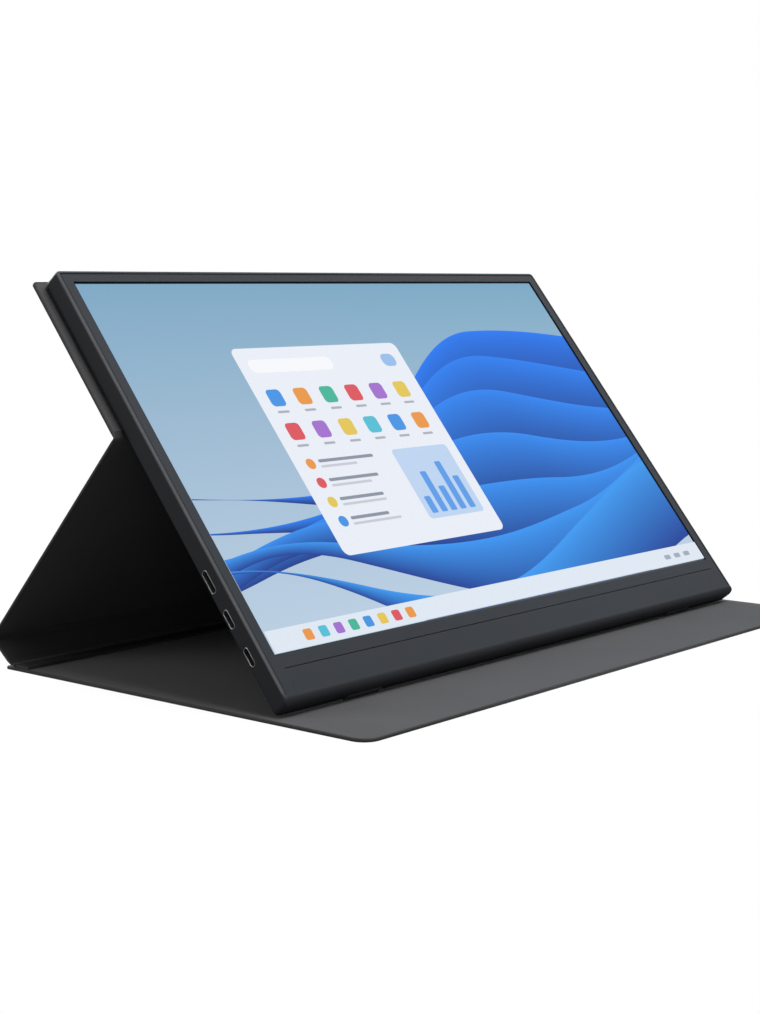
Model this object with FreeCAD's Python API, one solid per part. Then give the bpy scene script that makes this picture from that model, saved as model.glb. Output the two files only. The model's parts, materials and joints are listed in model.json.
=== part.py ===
import FreeCAD, Part
import math
import os

os.makedirs("parts", exist_ok=True)

# Portable monitor standing on its folding cover. Lengths are millimetres, angles degrees.
# X runs to the viewer's right, -Y points at the viewer and +Z is up.

# Display
ACTIVE_W = 344.16
ACTIVE_H = 193.59
BLACK_BORDER = 1.0      # dark rim of the display that shows inside the bezel
CELL_BORDER = 3.4       # glass beyond the active area on every side

# Slab: the display with its housing
BEZEL_SIDE = 8.12       # active area to the housing's side
BEZEL_TOP = 7.3         # active area to the housing's top
CHIN_H = 23.4           # active area to the housing's bottom
SLAB_LEAN = 38.4        # from the vertical
CORNER_R = 2.5
FRONT_ROUND = 1.2
BACK_ROUND = 1.5
BOTTOM_LIP = 4.4        # housing's face below the chin plate
BOTTOM_ROUND = 4.0      # lower front edge, rolled back
WALL_T = 1.6
FLOOR_T = 1.2
LEDGE_W = 2.0           # step inside the wall that carries the middle frame
SEAM = 0.2              # gap round the bezel
CHIN_SEAM = 0.05        # gap at the chin plate's ends and below it
GROOVE = 0.35           # line between the bezel and the chin plate
CHIN_PLATE_H = 11.65
CHIN_PLATE_SIDE = 8.7   # slab's side to the chin plate's end

# Stack inside the housing, from back to front
BOARD_SPACE = 3.6       # room for boards and sockets behind the panel
FRAME_LIP_T = 0.4
TRAY_T = 0.3
REFLECTOR_T = 0.15
GUIDE_T = 1.4
FILM_T = 0.4
FILM_GAP = 0.35
CELL_T = 1.2
POLARISER_T = 0.2
BEZEL_T = 0.8
FACE_DROP = 0.2         # bezel's face behind the housing's rim

# Panel details
TRAY_WALL_T = 0.6
FRAME_LIP_W = 3.0
PANEL_PLAY = 0.3
SHEET_PLAY = 0.4
LED_BAR_H = 3.0

# Sockets in the left wall, from the lowest up
PORT_FIRST_V = 27.1
PORT_PITCH = 18.45
PORT_INSET = 0.3
PORT_PLAY = 0.15
USB_W = 8.94
USB_H = 3.16
HDMI_W = 11.2
HDMI_H = 3.3
SOCKET_DEPTH = 7.3
SHELL_T = 0.3
TONGUE_T = 0.7
TONGUE_L = 4.6
TONGUE_MARGIN = 1.1

# Boards
BOARD_SEAT = 0.4        # pads that hold the boards off the housing's floor
BOARD_T = 0.8
BOARD_PLAY = 0.3
MAIN_BOARD_W = 110.0
MAIN_BOARD_V = 18.0
MAIN_BOARD_H = 62.0
KEY_BOARD_W = 22.0
KEY_BOARD_V = 30.0
KEY_BOARD_H = 42.0
SHIELD_SIZE = 30.0
SHIELD_H = 1.4
DRIVER_BOARD_SIDE = 55.2  # slab's side to the driver board's end
DRIVER_BOARD_H = 8.0
CABLE_W = 20.0
CABLE_T = 0.2
CABLE_LAP = 14.0        # length of cable lying on the main board
CABLE_RAMP = 12.0       # length of cable climbing to the driver board
SCREW_R = 0.8
SCREW_HEAD_R = 1.7
SCREW_HEAD_H = 0.6
SCREW_BITE = 0.6        # how far a screw reaches below its pad
SCREW_INSET = 5.0
SCREW_PLAY = 0.05

# Controls in the right wall
WHEEL_V = 40.0
WHEEL_R = 6.0
WHEEL_T = 2.6
WHEEL_PROUD = 1.1
WHEEL_PLAY = 0.4
WHEEL_PIN_R = 1.0
WHEEL_PIN_PLAY = 0.08
WHEEL_SEAT_R = 2.4
WHEEL_SEAT_GAP = 0.1
WHEEL_NOTCH = 0.5
POWER_V = 62.0
POWER_L = 12.0
POWER_H = 2.6
POWER_PROUD = 0.6
POWER_PLAY = 0.3
POWER_TRAVEL = 0.4
FLANGE_L = 15.0
FLANGE_T = 0.8
FLANGE_GAP = 0.1
STEM_W = 3.0
STEM_H = 1.0
STEM_L = 3.1
SWITCH_GAP = 0.1        # switch clears the stem by this at the end of the travel
SWITCH_L = 4.0
SWITCH_W = 6.0
SWITCH_H = 1.5

# Speakers, magnets and feet
SPEAKER_W = 44.0
SPEAKER_GAP = 0.8       # housing's ledge to the speakers
SPEAKER_H = 10.0
SPEAKER_T = 3.0
SPEAKER_SIDE = 52.2     # slab's side to a speaker's middle
SLOT_COUNT = 9
SLOT_PITCH = 4.0
SLOT_W = 1.2
SLOT_L = 6.0
MAGNET_W = 30.0
MAGNET_H = 14.0
MAGNET_T = 1.5
MAGNET_TOP = 34.0       # slab's top edge to the magnets' middle
MAGNET_SIDE = 40.2      # slab's side to the outer magnets' middle
MAGNET_SHARE = 0.43     # place of the inner magnets, as a share of the outer ones'
FOOT_SIDE = 52.2        # slab's side to a foot's middle
FOOT_W = 22.0
FOOT_T = 0.6            # rubber below the slab's bottom edge
FOOT_REAR = 0.6         # slab's back to the foot's rear side
FOOT_DEPTH = 3.6
FOOT_ROUND = 0.4
FOOT_GAP = 0.12

# Folding cover
COVER_MARGIN = 4.8      # cover beyond the slab's side
SKIN_T = 0.5
STIFFENER_T = 0.7
LINING_T = 0.4
HEM = 1.2               # turned edge of the skin round the lining
CREASE_MARGIN = 1.0
COVER_PLAY = 0.1
COVER_EDGE_ROUND = 0.4
FLAP_CORNER_R = 8.0
TAIL_CORNER_R = 1.5
UPPER_CORNER_R = 2.0
FLAP_LEN = 217.8        # front edge to the first fold
FLAP_TAIL = 3.5         # flap behind the first fold
TAB_LEN = 12.0          # first fold to the front edge of the spine's margin glued on the flap
SPINE_LEN = 17.0        # first fold to second fold
SPINE_LEAN = 50.4       # from the vertical
REAR_LEN = 132.15       # second fold to third fold
FOLD_DROP = 82.84       # third fold below the slab's top edge, along the slab
UPPER_LEN = 85.0
CREASE_REACH = 3.0      # fold line to the panels' edges
CREASE_T = 0.9
CREASE_INSET = 0.6
SHEET_T = 0.75          # magnet sheet between cover and slab
SHEET_SIDE = 35.0       # cover's side to the magnet sheet's end
SHEET_MARGIN = 8.0
FLAP_MAGNET_SIDE = 35.0  # cover's side to the outer magnets' middle
FLAP_MAGNET_SHARE = 0.33  # place of the inner magnets, as a share of the outer ones'
FLAP_MAGNET_W = 20.0
FLAP_MAGNET_L = 8.0
FLAP_MAGNET_IN = 16.0   # front edge to the magnets' middle

PILL_SHARE = 0.45       # corner radius of a pill-shaped outline, as a share of its height

# Sizes that follow
SLAB_W = ACTIVE_W + 2 * BEZEL_SIDE
SLAB_H = CHIN_H + ACTIVE_H + BEZEL_TOP
FOLD_HEIGHT = SLAB_H - FOLD_DROP
SIDE = SLAB_W / 2
INNER_SIDE = SIDE - WALL_T
COVER_SIDE = SIDE + COVER_MARGIN
LEDGE_TOP = FLOOR_T + BOARD_SPACE
LEDGE_LOW = BOTTOM_LIP + LEDGE_W
SPEAKER_V = LEDGE_LOW + SPEAKER_GAP
FRONT_LOW = BOTTOM_LIP + CHIN_SEAM
TRAY_SEAT = LEDGE_TOP + FRAME_LIP_T
REFLECTOR_SEAT = TRAY_SEAT + TRAY_T
GUIDE_SEAT = REFLECTOR_SEAT + REFLECTOR_T
FILM_SEAT = GUIDE_SEAT + GUIDE_T
CELL_SEAT = FILM_SEAT + FILM_T + FILM_GAP
CELL_FACE = CELL_SEAT + CELL_T
BEZEL_FACE = CELL_FACE + BEZEL_T
SLAB_T = BEZEL_FACE + FACE_DROP
MID_DEPTH = FLOOR_T + BOARD_SPACE / 2
CELL_X = ACTIVE_W / 2 + CELL_BORDER
CELL_LOW = CHIN_H - CELL_BORDER
CELL_HIGH = CHIN_H + ACTIVE_H + CELL_BORDER
BOARD_FACE = FLOOR_T + BOARD_SEAT + BOARD_T
COVER_T = SKIN_T + STIFFENER_T + LINING_T
HALF_COVER = COVER_T / 2


def box(x0, x1, y0, y1, z0, z1):
    """Box between two corners."""
    return Part.makeBox(x1 - x0, y1 - y0, z1 - z0, FreeCAD.Vector(x0, y0, z0))


def centred_box(x, y, width, height, z0, z1):
    """Box given by the middle of its outline and its two widths."""
    return box(x - width / 2, x + width / 2, y - height / 2, y + height / 2, z0, z1)


def edges_along(shape, axis):
    """Straight edges of a shape that run along one axis."""
    chosen = []
    for edge in shape.Edges:
        ends = edge.Vertexes
        if len(ends) == 2:
            run = ends[1].Point.sub(ends[0].Point)
            if abs(run.dot(axis)) > 0.999 * run.Length:
                chosen.append(edge)
    return chosen


def rounded_box(x0, x1, y0, y1, z0, z1, radius, axis=FreeCAD.Vector(0, 0, 1)):
    """Box whose four edges along one axis are rounded."""
    block = box(x0, x1, y0, y1, z0, z1)
    return block.makeFillet(radius, edges_along(block, axis))


def edges_at_height(shape, height):
    """Edges that lie in one level plane."""
    chosen = []
    for edge in shape.Edges:
        bounds = edge.BoundBox
        if abs(bounds.ZMin - height) < 1e-4 and abs(bounds.ZMax - height) < 1e-4:
            chosen.append(edge)
    return chosen


def cylinder(x, y, z0, z1, radius):
    """Upright cylinder."""
    return Part.makeCylinder(radius, z1 - z0, FreeCAD.Vector(x, y, z0))


def cut_all(shape, tools):
    """Shape less every tool."""
    for tool in tools:
        shape = shape.cut(tool)
    return shape


def join_all(shape, additions):
    """Shape with every addition fused on."""
    for addition in additions:
        shape = shape.fuse(addition)
    return shape.removeSplitter()


# Folds of the cover, seen from the right side as (y, z) with the first fold at y = 0.

def along(point, turn, length):
    """Point reached from another by going a length at an angle from +Y."""
    return (point[0] + length * math.cos(math.radians(turn)),
            point[1] + length * math.sin(math.radians(turn)))


SLAB_TURN = 90 - SLAB_LEAN
SPINE_TURN = 90 - SPINE_LEAN
FLAP_MIDDLE = (0.0, HALF_COVER)
FLAP_FOLD = (0.0, COVER_T + COVER_PLAY + HALF_COVER)    # the spine starts on top of the flap
SPINE_FOLD = along(FLAP_FOLD, SPINE_TURN, SPINE_LEN)
UP_Y = math.cos(math.radians(SLAB_TURN))
UP_Z = math.sin(math.radians(SLAB_TURN))
SLAB_BEHIND = SHEET_T + HALF_COVER      # slab's back to the upper panel's middle plane

# The slab's height is set by its feet standing on the flap, and the rear panel closes the triangle.
FOOT_LOW = (FOOT_ROUND - FOOT_T) * UP_Z + (FOOT_REAR + FOOT_ROUND) * UP_Y - FOOT_ROUND
SLAB_Z = COVER_T + FOOT_GAP - FOOT_LOW
TOP_FOLD_Z = SLAB_Z + FOLD_HEIGHT * UP_Z - SLAB_BEHIND * UP_Y
REAR_TURN = 180 - math.degrees(math.asin((TOP_FOLD_Z - SPINE_FOLD[1]) / REAR_LEN))
TOP_FOLD = along(SPINE_FOLD, REAR_TURN, REAR_LEN)
SLAB_Y = TOP_FOLD[0] - FOLD_HEIGHT * UP_Y - SLAB_BEHIND * UP_Z


def crease_radius(turn_before, turn_after):
    """Bend radius that runs into both panels at their edges."""
    return CREASE_REACH / math.tan(math.radians(abs(turn_after - turn_before)) / 2)


# The origin lies midway between the flap's front edge and the rearmost line of the spine's upper crease.
REAR_BEND = crease_radius(SPINE_TURN, REAR_TURN)
REAR_BEND_START = along(SPINE_FOLD, SPINE_TURN, -CREASE_REACH)
REAR_BEND_CENTRE = along(REAR_BEND_START, SPINE_TURN + 90, REAR_BEND)
REARMOST = REAR_BEND_CENTRE[0] + REAR_BEND + CREASE_T / 2
ORIGIN_Y = (REARMOST - FLAP_LEN) / 2


def carried(shape, turn, pivot):
    """Shape turned about X and carried to a fold."""
    moved = shape.copy()
    moved.rotate(FreeCAD.Vector(0, 0, 0), FreeCAD.Vector(1, 0, 0), turn)
    moved.translate(FreeCAD.Vector(0, pivot[0] - ORIGIN_Y, pivot[1]))
    return moved


def save(name, shape, turn, pivot):
    """Writes one sub-part in its place."""
    carried(shape, turn, pivot).exportStep(os.path.join("parts", name + ".step"))


def save_slab(name, shape):
    """Writes a sub-part of the slab, drawn with its back down and its bottom edge at y = 0."""
    save(name, shape, SLAB_TURN, (SLAB_Y, SLAB_Z))


# Cover

def panel_plate(side, y0, y1, z0, z1, near_corner, far_corner):
    """Flat plate across the cover, with its free corners rounded."""
    plate = box(-side, side, y0, y1, z0, z1)
    upright = FreeCAD.Vector(0, 0, 1)
    for edge_y, radius in ((y0, near_corner), (y1, far_corner)):
        if radius > 0:
            corners = [e for e in edges_along(plate, upright) if abs(e.Vertexes[0].Y - edge_y) < 1e-4]
            plate = plate.makeFillet(radius, corners)
    return plate


def make_cover_panel(name, y0, y1, turn, pivot, near_corner=0.0, far_corner=0.0, cutouts=()):
    """Skin, stiffener and lining of one cover panel; a side with a corner radius is a free edge."""
    floor = SKIN_T - HALF_COVER
    seat = floor + STIFFENER_T
    skin = panel_plate(COVER_SIDE, y0, y1, -HALF_COVER, HALF_COVER, near_corner, far_corner)
    rims = edges_at_height(skin, HALF_COVER) + edges_at_height(skin, -HALF_COVER)
    skin = skin.makeFillet(COVER_EDGE_ROUND, rims)

    def inset_plate(play, z0, z1):
        near = y0 + play + (HEM if near_corner else CREASE_MARGIN)
        far = y1 - play - (HEM if far_corner else CREASE_MARGIN)
        return panel_plate(COVER_SIDE - HEM - play, near, far, z0, z1,
                           max(near_corner - HEM - play, 0), max(far_corner - HEM - play, 0))

    save(name + "_skin", skin.cut(inset_plate(0, floor, HALF_COVER)), turn, pivot)
    save(name + "_stiffener", cut_all(inset_plate(COVER_PLAY, floor, seat), cutouts), turn, pivot)
    save(name + "_lining", inset_plate(COVER_PLAY, seat, HALF_COVER), turn, pivot)


def make_crease(name, pivot, turn_before, turn_after):
    """Flexible strip of skin and lining that bends from one panel's edge to the next."""
    sweep = turn_after - turn_before
    side = math.copysign(1.0, sweep)
    radius = crease_radius(turn_before, turn_after)
    centre = (-CREASE_REACH, side * radius)

    def rim(offset, share):
        spoke = side * -90 + share * sweep
        y, z = along(centre, spoke, radius + offset)
        return FreeCAD.Vector(0, y, z)

    outer = CREASE_T / 2
    inner = -CREASE_T / 2
    outline = Part.Wire([
        Part.Arc(rim(outer, 0), rim(outer, 0.5), rim(outer, 1)).toShape(),
        Part.LineSegment(rim(outer, 1), rim(inner, 1)).toShape(),
        Part.Arc(rim(inner, 1), rim(inner, 0.5), rim(inner, 0)).toShape(),
        Part.LineSegment(rim(inner, 0), rim(outer, 0)).toShape(),
    ])
    width = 2 * (COVER_SIDE - CREASE_INSET)
    strip = Part.Face(outline).extrude(FreeCAD.Vector(width, 0, 0))
    strip.translate(FreeCAD.Vector(-width / 2, 0, 0))
    save(name, strip, turn_before, pivot)


def paired_places(outer, share):
    """Places across the width of an outer and an inner pair of magnets."""
    return [-outer, -share * outer, share * outer, outer]


def make_flap():
    """Front flap: lies on the table with its lining up and carries closing magnets in its stiffener."""
    seat = SKIN_T - HALF_COVER
    top = seat + STIFFENER_T
    middle = FLAP_MAGNET_IN - FLAP_LEN
    window_w = FLAP_MAGNET_W + 2 * COVER_PLAY
    window_l = FLAP_MAGNET_L + 2 * COVER_PLAY
    places = paired_places(COVER_SIDE - FLAP_MAGNET_SIDE, FLAP_MAGNET_SHARE)
    windows = [centred_box(x, middle, window_w, window_l, seat, top) for x in places]
    magnets = [centred_box(x, middle, FLAP_MAGNET_W, FLAP_MAGNET_L, seat, top) for x in places]
    make_cover_panel("flap", -FLAP_LEN, FLAP_TAIL, 0, FLAP_MIDDLE,
                     near_corner=FLAP_CORNER_R, far_corner=TAIL_CORNER_R, cutouts=windows)
    save("flap_magnets", Part.makeCompound(magnets), 0, FLAP_MIDDLE)


def make_spine_tab():
    """Margin of the spine's sheet that lies glued on the flap in front of the first fold."""
    side = COVER_SIDE - CREASE_INSET
    top = FLAP_FOLD[1] + CREASE_T / 2
    tab = box(-side, side, -TAB_LEN, -CREASE_REACH, COVER_T, top)
    save("spine_tab", tab.makeFillet(COVER_EDGE_ROUND, edges_at_height(tab, top)), 0, (0.0, 0.0))


def make_cover():
    """The four panels of the cover, the creases between them and the sheet that grips the slab."""
    make_flap()
    make_spine_tab()
    make_cover_panel("spine", CREASE_REACH, SPINE_LEN - CREASE_REACH, SPINE_TURN, FLAP_FOLD)
    make_cover_panel("rear", CREASE_REACH, REAR_LEN - CREASE_REACH, REAR_TURN, SPINE_FOLD)
    make_cover_panel("upper", CREASE_REACH, UPPER_LEN, SLAB_TURN, TOP_FOLD, far_corner=UPPER_CORNER_R)
    make_crease("flap_crease", FLAP_FOLD, 0, SPINE_TURN)
    make_crease("spine_crease", SPINE_FOLD, SPINE_TURN, REAR_TURN)
    make_crease("top_crease", TOP_FOLD, REAR_TURN, SLAB_TURN)
    sheet_x = COVER_SIDE - SHEET_SIDE
    sheet = rounded_box(-sheet_x, sheet_x, CREASE_REACH + SHEET_MARGIN, UPPER_LEN - SHEET_MARGIN,
                        HALF_COVER, HALF_COVER + SHEET_T, SHEET_MARGIN / 2)
    save("magnet_sheet", sheet, SLAB_TURN, TOP_FOLD)


# Slab, drawn on its back: x to the right, y up the slab, z from its back to its face.

def slab_body():
    """Outer form of the housing."""
    body = rounded_box(-SIDE, SIDE, 0, SLAB_H, 0, SLAB_T, CORNER_R)
    body = body.makeFillet(FRONT_ROUND, edges_at_height(body, SLAB_T))
    body = body.makeFillet(BACK_ROUND, edges_at_height(body, 0))
    roll_depth = SLAB_T - BOTTOM_ROUND
    roll = Part.makeCylinder(BOTTOM_ROUND, SLAB_W, FreeCAD.Vector(-SIDE, BOTTOM_ROUND, roll_depth),
                             FreeCAD.Vector(1, 0, 0))
    waste = box(-SIDE, SIDE, 0, BOTTOM_ROUND, roll_depth, SLAB_T).cut(roll)
    return body.cut(waste)


def port_block(middle, width, height, grow, x0, x1):
    """Rounded block across the left wall: a socket's outline, made larger by grow."""
    half_w = width / 2 + grow
    half_h = height / 2 + grow
    radius = PILL_SHARE * 2 * half_h
    return rounded_box(x0, x1, middle - half_w, middle + half_w, MID_DEPTH - half_h, MID_DEPTH + half_h,
                       radius, FreeCAD.Vector(1, 0, 0))


PORTS = (
    ("usb_c_lower", PORT_FIRST_V, USB_W, USB_H),
    ("usb_c_upper", PORT_FIRST_V + PORT_PITCH, USB_W, USB_H),
    ("mini_hdmi", PORT_FIRST_V + 2 * PORT_PITCH, HDMI_W, HDMI_H),
)
PORT_MOUTH = PORT_INSET - SIDE
PORT_END = PORT_MOUTH + SOCKET_DEPTH
WHEEL_X = SIDE + WHEEL_PROUD - WHEEL_R
MAIN_BOARD_X = BOARD_PLAY + LEDGE_W - INNER_SIDE
KEY_BOARD_X = INNER_SIDE - FLANGE_GAP - FLANGE_T - STEM_L - POWER_TRAVEL - SWITCH_GAP


def board_screw_places():
    """Places of the screws that hold the main board."""
    left = PORT_END + SCREW_INSET
    right = MAIN_BOARD_X + MAIN_BOARD_W - SCREW_INSET
    low = MAIN_BOARD_V + SCREW_INSET
    high = MAIN_BOARD_V + MAIN_BOARD_H - SCREW_INSET
    return [(x, y) for x in (left, right) for y in (low, high)]


def key_screw_places():
    """Places of the screws that hold the key board."""
    x = KEY_BOARD_X - KEY_BOARD_W + SCREW_INSET
    return [(x, KEY_BOARD_V + SCREW_INSET), (x, KEY_BOARD_V + KEY_BOARD_H - SCREW_INSET)]


def all_screw_places():
    """Places of all the board screws."""
    return board_screw_places() + key_screw_places()


def wheel_half_slot():
    """Half the length of the wheel's slot, where the wheel passes the wall's inner face."""
    reach = INNER_SIDE - WHEEL_X
    return math.sqrt(WHEEL_R ** 2 - reach ** 2) + WHEEL_PLAY


def control_openings():
    """Slots for the wheel and the power button, and the room for them inside the wall."""
    ledge = INNER_SIDE - LEDGE_W
    wheel_high = WHEEL_T / 2 + WHEEL_PLAY
    power_high = POWER_H / 2 + POWER_PLAY
    power_half = POWER_L / 2 + POWER_PLAY
    wheel_room = WHEEL_R + WHEEL_PLAY
    flange_room = FLANGE_L / 2 + POWER_PLAY
    across = FreeCAD.Vector(1, 0, 0)
    return [
        box(ledge, SIDE, WHEEL_V - wheel_half_slot(), WHEEL_V + wheel_half_slot(),
            MID_DEPTH - wheel_high, MID_DEPTH + wheel_high),
        rounded_box(ledge, SIDE, POWER_V - power_half, POWER_V + power_half,
                    MID_DEPTH - power_high, MID_DEPTH + power_high, PILL_SHARE * POWER_H, across),
        box(ledge, INNER_SIDE, WHEEL_V - wheel_room, WHEEL_V + wheel_room, FLOOR_T, LEDGE_TOP),
        box(ledge, INNER_SIDE, POWER_V - flange_room, POWER_V + flange_room, FLOOR_T, LEDGE_TOP),
    ]


def speaker_slots():
    """Rows of slots in the housing's floor behind the speakers."""
    slots = []
    middle = SPEAKER_V + SPEAKER_H / 2
    for centre in (SPEAKER_SIDE - SIDE, SIDE - SPEAKER_SIDE):
        for i in range(SLOT_COUNT):
            x = centre + (i - (SLOT_COUNT - 1) / 2) * SLOT_PITCH
            slots.append(rounded_box(x - SLOT_W / 2, x + SLOT_W / 2, middle - SLOT_L / 2, middle + SLOT_L / 2,
                                     0, FLOOR_T, PILL_SHARE * SLOT_W))
    return slots


def make_rear_housing():
    """Tray-shaped back of the slab, with ledge, board pads, port openings and control slots."""
    ledge_side = INNER_SIDE - LEDGE_W
    ledge_high = SLAB_H - WALL_T - LEDGE_W
    inner_r = max(CORNER_R - WALL_T, SEAM)
    upper_room = rounded_box(-INNER_SIDE, INNER_SIDE, BOTTOM_LIP, SLAB_H - WALL_T, LEDGE_TOP, SLAB_T, inner_r)
    lower_room = box(-ledge_side, ledge_side, LEDGE_LOW, ledge_high, FLOOR_T, LEDGE_TOP)
    housing = cut_all(slab_body(), [upper_room, lower_room])
    ports = [port_block(v, w, h, PORT_PLAY, -SIDE, -ledge_side) for _, v, w, h in PORTS]
    housing = cut_all(housing, ports + control_openings() + speaker_slots())
    pad_top = FLOOR_T + BOARD_SEAT
    bottom = FLOOR_T - SCREW_BITE
    pads = [cylinder(x, y, FLOOR_T, pad_top, SCREW_HEAD_R) for x, y in all_screw_places()]
    bores = [cylinder(x, y, bottom, pad_top, SCREW_R + SCREW_PLAY) for x, y in all_screw_places()]
    save_slab("rear_housing", cut_all(join_all(housing, pads), bores))


def make_front():
    """Bezel round the display and the chin plate below it."""
    side = INNER_SIDE - SEAM
    high = SLAB_H - WALL_T - SEAM
    outer_r = max(CORNER_R - WALL_T - SEAM, SEAM)
    frame = rounded_box(-side, side, FRONT_LOW, high, CELL_FACE, BEZEL_FACE, outer_r)
    window = centred_box(0, CHIN_H + ACTIVE_H / 2, ACTIVE_W + 2 * BLACK_BORDER, ACTIVE_H + 2 * BLACK_BORDER,
                         CELL_FACE, BEZEL_FACE)
    plate_x = SIDE - CHIN_PLATE_SIDE
    plate_top = FRONT_LOW + CHIN_PLATE_H
    bay_x = plate_x + CHIN_SEAM
    bay = box(-bay_x, bay_x, FRONT_LOW, plate_top + GROOVE, CELL_FACE, BEZEL_FACE)
    save_slab("front_bezel", cut_all(frame, [window, bay]))
    save_slab("chin_plate", box(-plate_x, plate_x, FRONT_LOW, plate_top, CELL_FACE, BEZEL_FACE))


def make_middle_frame():
    """Frame on the housing's ledge that holds the panel and carries bezel and chin plate."""
    side = INNER_SIDE - SEAM
    low = BOTTOM_LIP + SEAM
    high = SLAB_H - WALL_T - SEAM
    frame = rounded_box(-side, side, low, high, LEDGE_TOP, CELL_FACE, max(CORNER_R - WALL_T - SEAM, SEAM))
    x = CELL_X + PANEL_PLAY
    recess = box(-x, x, CELL_LOW - PANEL_PLAY, CELL_HIGH + PANEL_PLAY, TRAY_SEAT, CELL_FACE)
    lip_x = CELL_X - FRAME_LIP_W
    window = box(-lip_x, lip_x, CELL_LOW + FRAME_LIP_W, CELL_HIGH - FRAME_LIP_W, LEDGE_TOP, TRAY_SEAT)
    save_slab("middle_frame", cut_all(frame, [recess, window]))


def make_panel():
    """Display panel: tray, reflector, light bar, light guide, films, glass cell and polariser."""
    tray = box(-CELL_X, CELL_X, CELL_LOW, CELL_HIGH, TRAY_SEAT, CELL_SEAT)
    wall_x = CELL_X - TRAY_WALL_T
    low = CELL_LOW + TRAY_WALL_T
    high = CELL_HIGH - TRAY_WALL_T
    save_slab("panel_tray", tray.cut(box(-wall_x, wall_x, low, high, REFLECTOR_SEAT, CELL_SEAT)))
    x = wall_x - SHEET_PLAY
    guide_low = low + LED_BAR_H + SHEET_PLAY
    sheet_high = high - SHEET_PLAY
    save_slab("reflector_sheet", box(-x, x, low + SHEET_PLAY, sheet_high, REFLECTOR_SEAT, GUIDE_SEAT))
    save_slab("led_bar", box(-x, x, low + SHEET_PLAY, guide_low - SHEET_PLAY, GUIDE_SEAT, FILM_SEAT))
    save_slab("light_guide", box(-x, x, guide_low, sheet_high, GUIDE_SEAT, FILM_SEAT))
    save_slab("optical_films", box(-x, x, guide_low, sheet_high, FILM_SEAT, FILM_SEAT + FILM_T))
    save_slab("display_glass", box(-CELL_X, CELL_X, CELL_LOW, CELL_HIGH, CELL_SEAT, CELL_FACE))
    half = ACTIVE_W / 2
    save_slab("polariser", box(-half, half, CHIN_H, CHIN_H + ACTIVE_H, CELL_FACE, CELL_FACE + POLARISER_T))


def make_sockets():
    """Metal shells of the sockets in the left wall, each with its contact tongue."""
    for name, middle, width, height in PORTS:
        shell = port_block(middle, width, height, 0, PORT_MOUTH, PORT_END)
        hollow = port_block(middle, width, height, -SHELL_T, PORT_MOUTH, PORT_END - SHELL_T)
        save_slab(name + "_shell", shell.cut(hollow))
        half = width / 2 - TONGUE_MARGIN
        tongue = box(PORT_END - SHELL_T - TONGUE_L, PORT_END - SHELL_T, middle - half, middle + half,
                     MID_DEPTH - TONGUE_T / 2, MID_DEPTH + TONGUE_T / 2)
        save_slab(name + "_tongue", tongue)


def make_boards():
    """Main board with its shield can, key board, driver board, display cable and board screws."""
    seat = FLOOR_T + BOARD_SEAT
    holes = [cylinder(x, y, seat, BOARD_FACE, SCREW_R + SCREW_PLAY) for x, y in all_screw_places()]
    notches = [box(PORT_MOUTH, PORT_END + PORT_PLAY, v - w / 2 - PORT_PLAY, v + w / 2 + PORT_PLAY,
                   seat, BOARD_FACE) for _, v, w, _ in PORTS]
    main = box(MAIN_BOARD_X, MAIN_BOARD_X + MAIN_BOARD_W, MAIN_BOARD_V, MAIN_BOARD_V + MAIN_BOARD_H,
               seat, BOARD_FACE)
    save_slab("main_board", cut_all(main, notches + holes))
    can_x = MAIN_BOARD_X + MAIN_BOARD_W / 2
    can_v = MAIN_BOARD_V + MAIN_BOARD_H - SHIELD_SIZE / 2 - SCREW_INSET
    can_top = BOARD_FACE + SHIELD_H
    inside = SHIELD_SIZE - 2 * SHELL_T
    can = centred_box(can_x, can_v, SHIELD_SIZE, SHIELD_SIZE, BOARD_FACE, can_top)
    hollow = centred_box(can_x, can_v, inside, inside, BOARD_FACE, can_top - SHELL_T)
    save_slab("shield_can", can.cut(hollow))
    key = box(KEY_BOARD_X - KEY_BOARD_W, KEY_BOARD_X, KEY_BOARD_V, KEY_BOARD_V + KEY_BOARD_H,
              seat, BOARD_FACE)
    wheel_notch = cylinder(WHEEL_X, WHEEL_V, seat, BOARD_FACE, WHEEL_R + WHEEL_NOTCH)
    save_slab("key_board", cut_all(key, [wheel_notch] + holes))
    driver_v = CELL_LOW + FRAME_LIP_W + PANEL_PLAY
    driver_back = TRAY_SEAT - BOARD_T
    driver_x = SIDE - DRIVER_BOARD_SIDE
    driver = box(-driver_x, driver_x, driver_v, driver_v + DRIVER_BOARD_H, driver_back, TRAY_SEAT)
    save_slab("driver_board", driver)
    make_cable(driver_v, driver_back)
    make_board_screws()


def make_cable(driver_v, driver_back):
    """Flat cable from the face of the main board up to the back of the driver board."""
    ramp_v = driver_v + DRIVER_BOARD_H
    board_v = ramp_v + CABLE_RAMP
    profile = (
        (driver_v, driver_back), (ramp_v, driver_back), (board_v, BOARD_FACE + CABLE_T),
        (board_v + CABLE_LAP, BOARD_FACE + CABLE_T), (board_v + CABLE_LAP, BOARD_FACE),
        (board_v, BOARD_FACE), (ramp_v, driver_back - CABLE_T), (driver_v, driver_back - CABLE_T),
    )
    left = MAIN_BOARD_X + MAIN_BOARD_W - 2 * SCREW_INSET - CABLE_W
    points = [FreeCAD.Vector(left, y, z) for y, z in profile]
    face = Part.Face(Part.makePolygon(points + points[:1]))
    save_slab("display_cable", face.extrude(FreeCAD.Vector(CABLE_W, 0, 0)))


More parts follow.
